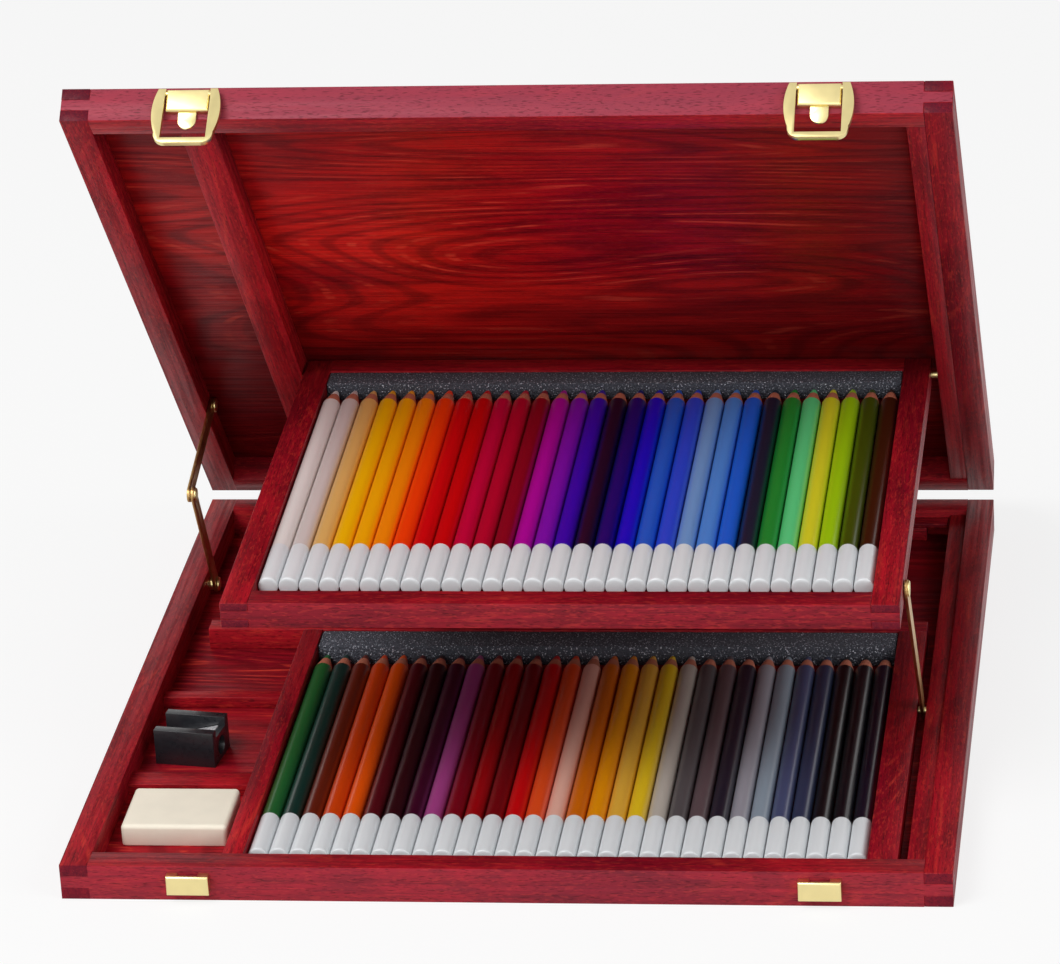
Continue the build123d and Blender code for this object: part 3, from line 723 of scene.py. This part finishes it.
def soften(frame: dict, node: str, name: str, width: float) -> bpy.types.Object:
    """A copy of a CAD node with its edges eased, which stands for the node.

    Args:
        frame: the loaded frame.
        node: the CAD node.
        name: the new piece's name.
        width: how far the edges are eased, in metres.
    Returns:
        The new piece.
    """
    source = frame["nodes"][node]
    put_down()
    copy = bpy.data.objects.new(name, source.data.copy())
    bpy.context.scene.collection.objects.link(copy)
    pick(copy)
    bpy.ops.object.mode_set(mode="EDIT")
    bpy.ops.mesh.select_all(action="SELECT")
    bpy.ops.mesh.remove_doubles(threshold=1e-6)
    bpy.ops.mesh.dissolve_limited(angle_limit=math.radians(1.0))
    bpy.ops.object.mode_set(mode="OBJECT")
    bevel = copy.modifiers.new("eased edges", "BEVEL")
    bevel.width = width
    bevel.segments = 2
    bevel.limit_method = "ANGLE"
    bevel.angle_limit = math.radians(40)
    bevel.harden_normals = False
    bpy.ops.object.modifier_apply(modifier=bevel.name)
    bpy.ops.object.shade_smooth_by_angle(angle=math.radians(35))
    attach(copy, body_of(frame, node))
    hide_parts(node)
    return copy


def body_of(frame: dict, node: str) -> str:
    """The name of the body that a CAD node rides on."""
    bodies = frame["record"]["behaviour"]["bodies"]
    return next(body for body, members in bodies.items() if node in members)


# ------------------------------------------------------------------ wood
@dataclass
class Woodwork:
    """The rails, panels, laths and strips: softened copies of the CAD pieces, in stained wood."""

    frame: dict
    finishes: Finishes
    edge: float = 0.3 * MM
    lid_painted_glow_offset: Triple = (-0.035, -0.030, 0.034)
    rail: StainedWood = StainedWood("stained rails")
    panel: StainedWood = StainedWood("stained panels", figure=0.70, pores=0.25, gloss=0.09)
    # How strong the painted sheen is on each front rail's front face.
    front_painted_sheen: dict[str, float] = field(default_factory=lambda: {
        "lid_front_rail": 0.75, "base_front_rail": 0.28, "tray_front_rail": 0.12,
    })

    def dress_all(self) -> None:
        """Replaces each wooden node with its softened copy and stains it."""
        across = (
            "base_front_rail", "base_rear_rail", "base_cross_rail", "front_compartment_rail",
            "rear_compartment_rail", "rear_block", "rear_ledge", "base_floor_panel",
            "lid_front_rail", "lid_rear_rail", "lid_panel",
            "tray_front_rail", "tray_rear_rail", "tray_floor_panel",
        )
        along = (
            "base_left_rail", "base_right_rail", "compartment_divider", "slot_strip", "side_ledge",
            "lid_left_rail", "lid_right_rail", "lid_left_lath", "lid_right_lath",
            "tray_left_rail", "tray_right_rail",
        )
        for way, names, first_seed in ((Grain.ACROSS, across, 1), (Grain.ALONG, along, 21)):
            for seed, node in enumerate(names, start=first_seed):
                self.dress_one(node, way, seed)

    def dress_one(self, node: str, way: Grain, seed: int) -> None:
        """Softens and stains one piece.

        Args:
            node: the CAD node.
            way: the axis its grain runs along.
            seed: which stretch of wood it is cut from.
        """
        turns = {"lid": LID_OPENING, "tray": -TRAY_TILT}
        turn = turns.get(node.split("_")[0], 0.0)
        piece = soften(self.frame, node, "wood_" + node, self.edge)
        dress(piece, self.finishes.wood(self.stain_for(node), way, turn, seed))
        log.info("wood: %s", piece.name)

    def stain_for(self, node: str) -> StainedWood:
        """The stain of one piece: a painted sheen on the front rails' front faces; in the lid's
        panel, lighter tones and a painted glow with painted shade around it.

        Args:
            node: the CAD node.
        Returns:
            The stain.
        """
        if node == "lid_panel":
            low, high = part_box(node)
            # The lid's panel: lighter tones, and a painted glow around this centre with painted
            # shade away from it.
            painted_glow_centre = (low + high) / 2 + Vector(self.lid_painted_glow_offset)
            return replace(
                self.panel, middle=(0.360, 0.0032, 0.0075), light=(0.700, 0.0140, 0.0100),
                glow=painted_glow_centre,
            )
        if node.endswith("panel"):
            return self.panel
        return replace(self.rail, painted_sheen=self.front_painted_sheen.get(node, 0.0))


# ------------------------------------------------------------------ pencils
@dataclass(frozen=True)
class Pigment:
    """A pencil's colour."""

    name: str
    colour: Colour


def pigments(*rows: tuple[str, int, int, int]) -> tuple[Pigment, ...]:
    """Pigments from names and listed screen colours.

    Args:
        rows: a name and its red, green and blue, from 0 to 255.
    Returns:
        The pigments.
    """
    return tuple(
        Pigment(name, tuple((part / 255) ** SCREEN_GAMMA for part in rgb)) for name, *rgb in rows
    )


UPPER = pigments(
    ("chalk white", 236, 232, 228), ("shell white", 216, 206, 202), ("sand", 230, 182, 104),
    ("golden yellow", 252, 190, 4), ("egg yellow", 253, 176, 2), ("light orange", 253, 140, 8),
    ("vermilion", 250, 66, 4), ("bright red", 212, 8, 18), ("signal red", 206, 4, 16),
    ("rose red", 198, 4, 62), ("crimson", 184, 6, 48), ("dark crimson", 138, 4, 34),
    ("magenta", 178, 12, 158), ("purple", 126, 20, 176), ("violet blue", 52, 10, 176),
    ("blue black", 12, 12, 40), ("navy", 6, 12, 112), ("ultramarine", 4, 18, 202),
    ("mid blue", 22, 92, 206), ("cobalt", 36, 74, 216), ("cornflower", 112, 156, 214),
    ("light blue", 76, 138, 222), ("azure", 8, 96, 216), ("prussian blue", 6, 34, 52),
    ("leaf green", 24, 138, 52), ("light green", 92, 214, 134), ("lemon", 222, 218, 44),
    ("lime", 160, 206, 20), ("olive", 62, 78, 10), ("dark umber", 56, 28, 8),
)
LOWER = pigments(
    ("forest green", 32, 98, 50), ("fir black", 10, 52, 46), ("dark sepia", 96, 34, 18),
    ("burnt orange", 208, 68, 14), ("strong orange", 232, 86, 12), ("maroon", 80, 14, 24),
    ("black brown", 46, 12, 20), ("black plum", 58, 10, 38), ("orchid", 162, 66, 132),
    ("wine red", 118, 6, 28), ("deep red", 152, 6, 18), ("ox blood", 112, 6, 18),
    ("scarlet", 198, 12, 18), ("terracotta", 226, 78, 32), ("pale peach", 234, 176, 158),
    ("ochre", 206, 104, 14), ("golden ochre", 232, 146, 12), ("yellow ochre", 226, 172, 62),
    ("sun yellow", 232, 194, 36), ("warm grey", 186, 178, 168), ("mid grey", 84, 80, 82),
    ("umber grey", 92, 76, 80), ("charcoal", 34, 32, 44), ("light grey", 150, 148, 158),
    ("silver blue", 138, 152, 166), ("blue grey", 70, 78, 112), ("slate", 46, 54, 80),
    ("black", 10, 12, 16), ("lamp black", 12, 14, 20), ("ink", 14, 14, 30),
)


@dataclass
class PencilRow:
    """A row of pencils with dipped caps at the front and points at the back."""

    body: str
    node: str
    colours: tuple[Pigment, ...]
    first: Vector
    along: Vector
    pitch: float = 8.0 * MM
    radius: float = 3.9 * MM
    length: float = 178.0 * MM
    cap: float = 30.0 * MM
    shoulder: float = 164.0 * MM
    cedar: float = 8.2 * MM
    core_radius: float = 2.2 * MM
    tip_radius: float = 1.15 * MM
    cap_end: float = 1.6 * MM
    point_end: float = 0.9 * MM
    lacquer_share: float = 0.985
    turn_each: float = 1.7
    sides: int = 24

    def master(self) -> bpy.types.Object:
        """One pencil along +Y, with its cap's end at the origin.

        Returns:
            The pencil, with its material numbers set: lacquer, cap, cedar, core.
        """
        put_down()
        bpy.ops.mesh.primitive_cylinder_add(
            vertices=self.sides, radius=self.radius, depth=self.shoulder - self.cap_end,
            location=(0, (self.shoulder + self.cap_end) / 2, 0), rotation=(math.pi / 2, 0, 0),
        )
        pencil = bpy.context.object
        settle(pencil)
        self.extrude_end(pencil, -1, ((1.0, 1.0), (0.25, 0.97), (0.2, 0.90), (0.15, 0.75)))
        cedar, core = self.core_radius / self.radius, self.tip_radius / self.core_radius
        tip = self.length - self.shoulder - self.cedar
        self.extrude_end(pencil, 1, (
            (self.cedar / MM, cedar), ((tip - self.point_end) / MM, core), (0.5, 0.80), (0.4, 0.5),
        ))
        self.cut_cap(pencil)
        self.number_faces(pencil)
        pick(pencil)
        bpy.ops.object.shade_smooth_by_angle(angle=math.radians(38))
        return pencil

    def extrude_end(
        self, pencil: bpy.types.Object, side: int, steps: Iterable[tuple[float, float]]
    ) -> None:
        """Draws one end out in steps.

        Args:
            pencil: the pencil being made.
            side: 1 for the point, -1 for the cap.
            steps: how far each step goes, in mm, and how much it narrows the end.
        """
        pick(pencil)
        bpy.ops.object.mode_set(mode="EDIT")
        bpy.ops.mesh.select_mode(type="FACE")
        bpy.ops.mesh.select_all(action="DESELECT")
        mesh = bmesh.from_edit_mesh(pencil.data)
        for face in mesh.faces:
            face.select = face.normal.y * side > 0.9
        bmesh.update_edit_mesh(pencil.data)
        for far, narrow in steps:
            step = {"value": (0, side * far * MM, 0)}
            bpy.ops.mesh.extrude_region_move(TRANSFORM_OT_translate=step)
            bpy.ops.transform.resize(value=(narrow, 1, narrow), center_override=(0, 0, 0))
        bpy.ops.object.mode_set(mode="OBJECT")

    def cut_cap(self, pencil: bpy.types.Object) -> None:
        """Rings the body at the cap's edge, and leaves the dipped cap a little thicker.

        Args:
            pencil: the pencil being made.
        """
        pick(pencil)
        bpy.ops.object.mode_set(mode="EDIT")
        for place in (self.cap, self.cap + 0.35 * MM):
            bpy.ops.mesh.select_all(action="SELECT")
            bpy.ops.mesh.bisect(plane_co=(0, place, 0), plane_no=(0, 1, 0))
        bpy.ops.mesh.select_mode(type="VERT")
        bpy.ops.mesh.select_all(action="DESELECT")
        mesh = bmesh.from_edit_mesh(pencil.data)
        for vertex in mesh.verts:
            vertex.select = self.cap + 0.1 * MM < vertex.co.y < self.shoulder - 1 * MM
        bmesh.update_edit_mesh(pencil.data)
        thinner = (self.lacquer_share, 1, self.lacquer_share)
        bpy.ops.transform.resize(value=thinner, center_override=(0, 0, 0))
        bpy.ops.object.mode_set(mode="OBJECT")

    def number_faces(self, pencil: bpy.types.Object) -> None:
        """Sets each face's material number from where it lies.

        Args:
            pencil: the pencil being made.
        """
        for face in pencil.data.polygons:
            y = face.center.y
            if y < self.cap + 0.3 * MM:
                face.material_index = 1
            elif y < self.shoulder + 0.02 * MM:
                face.material_index = 0
            elif y < self.shoulder + self.cedar * 0.98:
                face.material_index = 2
            else:
                face.material_index = 3

    def lay_out(self, finishes: Finishes) -> None:
        """Copies the pencil along the row, colours each copy and lays it in its place.

        Args:
            finishes: the finishes to use.
        """
        master = self.master()
        up = Vector((1, 0, 0)).cross(self.along)
        turn = Matrix((Vector((1, 0, 0)), self.along, up)).transposed().to_4x4()
        for number, pigment in enumerate(self.colours):
            put_down()
            pencil = bpy.data.objects.new(f"{self.node}_{number + 1:02d}", master.data.copy())
            bpy.context.scene.collection.objects.link(pencil)
            place = Matrix.Translation(self.first + Vector((number * self.pitch, 0, 0)))
            spin = Matrix.Rotation(number * self.turn_each, 4, "Y")
            pencil.data.transform(place @ turn @ spin)
            layer = pencil.data.color_attributes.new("pigment", "FLOAT_COLOR", "POINT")
            for point in layer.data:
                point.color = (*pigment.colour, 1)
            dress(pencil, *(finishes[part] for part in ("lacquer", "dipped cap", "cedar", "core")))
            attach(pencil, self.body)
            if number == 0:
                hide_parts(self.node)
            log.info("pencil: %s, %s", pencil.name, pigment.name)
        bpy.data.objects.remove(master)


# ------------------------------------------------------------------ metal and small things
@dataclass(frozen=True)
class Batch:
    """Fittings that share a finish, a material slot and an eased edge."""

    finish: str
    slot: str
    edge: float
    nodes: tuple[str, ...]


BATCHES = (
    Batch("pale brass", "brass", 0.2 * MM, (
        "latch_plate_left", "latch_plate_right", "catch_left", "catch_right",
    )),
    Batch("pale brass", "brass", 0.6 * MM, ("latch_bail_left", "latch_bail_right")),
    Batch("pale brass", "brass", 0.2 * MM, (
        "hinge_base_leaf_left", "hinge_base_leaf_right", "hinge_lid_leaf_left",
        "hinge_lid_leaf_right", "hinge_pin_left", "hinge_pin_right",
    )),
    Batch("pale brass", "brass", 0.1 * MM, (
        "knee_rivet", "tray_arm_rivet", "tray_pin_left", "tray_pin_right", "arm_base_pin",
        "stay_base_screw", "stay_lid_screw", "catch_pins", "hinge_base_screws", "hinge_lid_screws",
    )),
    # These pieces get the darker brass, whose darkening is a painted reflection of the dark wood.
    Batch("reflection-darkened brass", "brass", 0.2 * MM, ("stay_lower_arm", "stay_upper_arm", "tray_arm")),
    Batch("bright steel", "steel", 0.1 * MM, ("sharpener_blade", "sharpener_screw")),
    Batch("black plastic", "sharpener", 0.4 * MM, ("sharpener_body",)),
    Batch("cream vinyl", "eraser", 0.6 * MM, ("eraser",)),
    Batch("foam", "foam", 0.6 * MM, ("lower_foam_strip", "upper_foam_strip")),
)


@dataclass
class Fittings:
    """Hinges, latches, stay, arm, foam, eraser and sharpener."""

    frame: dict
    finishes: Finishes

    def dress_all(self) -> None:
        """Softens and dresses each fitting."""
        for batch in BATCHES:
            for node in batch.nodes:
                piece = soften(self.frame, node, "dressed_" + node, batch.edge)
                dress(piece, self.finishes[batch.finish])
                log.info("fitting: %s", piece.name)


# ------------------------------------------------------------------ studio
@dataclass(frozen=True)
class Lamp:
    """A square soft lamp aimed at the case."""

    name: str
    place: Triple
    size: float
    power: float
    aim: Triple = (0.0, 0.0, 0.08)

    def hang(self) -> None:
        """Adds the lamp to the scene."""
        data = bpy.data.lights.new(self.name, "AREA")
        data.energy = self.power
        data.size = self.size
        lamp = bpy.data.objects.new(self.name, data)
        bpy.context.scene.collection.objects.link(lamp)
        lamp.location = self.place
        towards = Vector(self.aim) - Vector(self.place)
        lamp.rotation_mode = "QUATERNION"
        lamp.rotation_quaternion = towards.to_track_quat("-Z", "Y")


@dataclass
class Studio:
    """The floor, the lamps, the room and the camera."""

    place: Vector = field(default_factory=lambda: Vector((0.2898, -2.0120, 0.9993)))
    azimuth: float = 0.1455
    elevation: float = 0.4167
    roll: float = -0.0597
    focal: float = 5533.1
    long_side: float = 1060.0
    sensor: float = 36.0
    floor_size: float = 30.0
    floor_grey: float = 0.88
    floor_white: float = 0.80
    room_light: float = 0.34
    lamps: tuple[Lamp, ...] = (
        Lamp("key", (-1.4, -1.6, 2.6), 1.8, 71.0),
        Lamp("fill", (2.2, -1.2, 1.6), 1.6, 22.0),
        Lamp("front", (0.2, -2.8, 0.9), 1.6, 14.0),
    )

    def set_up(self) -> None:
        """Makes the studio."""
        self.camera()
        self.floor()
        for lamp in self.lamps:
            lamp.hang()
        self.room()
        bpy.context.scene.view_settings.view_transform = "Standard"

    def camera(self) -> None:
        """Stands the camera where the photograph was taken from."""
        data = bpy.data.cameras.new("camera")
        data.sensor_width = self.sensor
        data.lens = self.focal / self.long_side * self.sensor
        data.clip_start = 0.05
        data.clip_end = 100.0
        camera = bpy.data.objects.new("camera", data)
        bpy.context.scene.collection.objects.link(camera)
        ca, sa = math.cos(self.azimuth), math.sin(self.azimuth)
        ce, se = math.cos(self.elevation), math.sin(self.elevation)
        right = Vector((ca, sa, 0))
        forward = Vector((-sa * ce, ca * ce, -se))
        up = right.cross(forward)
        cr, sr = math.cos(self.roll), math.sin(self.roll)
        turned_right = right * cr + up * sr
        turned_up = up * cr - right * sr
        camera.matrix_world = Matrix.Translation(self.place) @ Matrix(
            (turned_right, turned_up, -forward)).transposed().to_4x4()
        bpy.context.scene.camera = camera

    def floor(self) -> None:
        """Lays a plain white floor, white to the camera and still holding the case's shadow."""
        put_down()
        bpy.ops.mesh.primitive_plane_add(size=self.floor_size, location=(0, 0, 0))
        floor = bpy.context.object
        floor.name = "floor"
        kit = NodeKit.new("white floor")
        diffuse = kit.node("BsdfDiffuse")
        diffuse.inputs["Color"].default_value = (*(self.floor_grey,) * 3, 1)
        glow = kit.node("Emission")
        glow.inputs["Strength"].default_value = 1.0
        path = kit.node("LightPath")
        seen = kit.node("Math", operation="MAXIMUM")
        share = kit.node("Math", operation="MULTIPLY")
        share.inputs[1].default_value = self.floor_white
        blend = kit.node("MixShader")
        output = kit.node("OutputMaterial")
        kit.link(path.outputs["Is Camera Ray"], seen.inputs[0])
        kit.link(path.outputs["Is Glossy Ray"], seen.inputs[1])
        kit.link(seen.outputs["Value"], share.inputs[0])
        kit.link(share.outputs["Value"], blend.inputs["Fac"])
        kit.link(diffuse.outputs["BSDF"], blend.inputs[1])
        kit.link(glow.outputs["Emission"], blend.inputs[2])
        kit.link(blend.outputs["Shader"], output.inputs["Surface"])
        dress(floor, kit.material)

    def room(self) -> None:
        """Lights the room evenly, white to the camera and in reflections."""
        world = bpy.data.worlds.new("room")
        bpy.context.scene.world = world
        world.use_nodes = True
        tree = world.node_tree
        tree.nodes.clear()
        path = add_node(tree, "LightPath")
        seen = add_node(tree, "Math", operation="MAXIMUM")
        strength = add_node(tree, "MapRange")
        strength.inputs["To Min"].default_value = self.room_light
        strength.inputs["To Max"].default_value = 1.0
        background = add_node(tree, "Background")
        output = add_node(tree, "OutputWorld")
        for source, target in (
            (path.outputs["Is Camera Ray"], seen.inputs[0]),
            (path.outputs["Is Glossy Ray"], seen.inputs[1]),
            (seen.outputs["Value"], strength.inputs["Value"]),
            (strength.outputs["Result"], background.inputs["Strength"]),
            (background.outputs["Background"], output.inputs["Surface"]),
        ):
            tree.links.new(source, target)


def rows_of_pencils(frame: dict) -> tuple[PencilRow, PencilRow]:
    """The two rows, placed from the CAD's own rows.

    Args:
        frame: the loaded frame.
    Returns:
        The lower row and the upper row.
    """
    radius = PencilRow.radius
    low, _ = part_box("lower_pencils")
    first = Vector((low.x + radius, low.y, low.z + radius))
    lower = PencilRow("base", "lower_pencils", LOWER, first, Vector((0, 1, 0)))

    along = Vector((0, math.cos(TRAY_TILT), math.sin(TRAY_TILT)))
    up = Vector((0, -math.sin(TRAY_TILT), math.cos(TRAY_TILT)))
    low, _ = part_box("upper_pencils")
    points = [Vector(vertex.co) for vertex in frame["nodes"]["upper_pencils"].data.vertices]
    front = min(point.dot(along) for point in points)
    base = min(point.dot(up) for point in points)
    first = along * front + up * (base + radius) + Vector((low.x + radius, 0, 0))
    upper = PencilRow("tray", "upper_pencils", UPPER, first, along)
    return lower, upper


def main() -> None:
    """Builds and dresses the case, piece by piece."""
    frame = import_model()
    put_down()
    studio = Studio()
    studio.set_up()
    finishes = Finishes()
    Woodwork(frame, finishes).dress_all()
    Fittings(frame, finishes).dress_all()
    for row in rows_of_pencils(frame):
        row.lay_out(finishes)
    put_down()


if __name__ == "__main__":
    main()
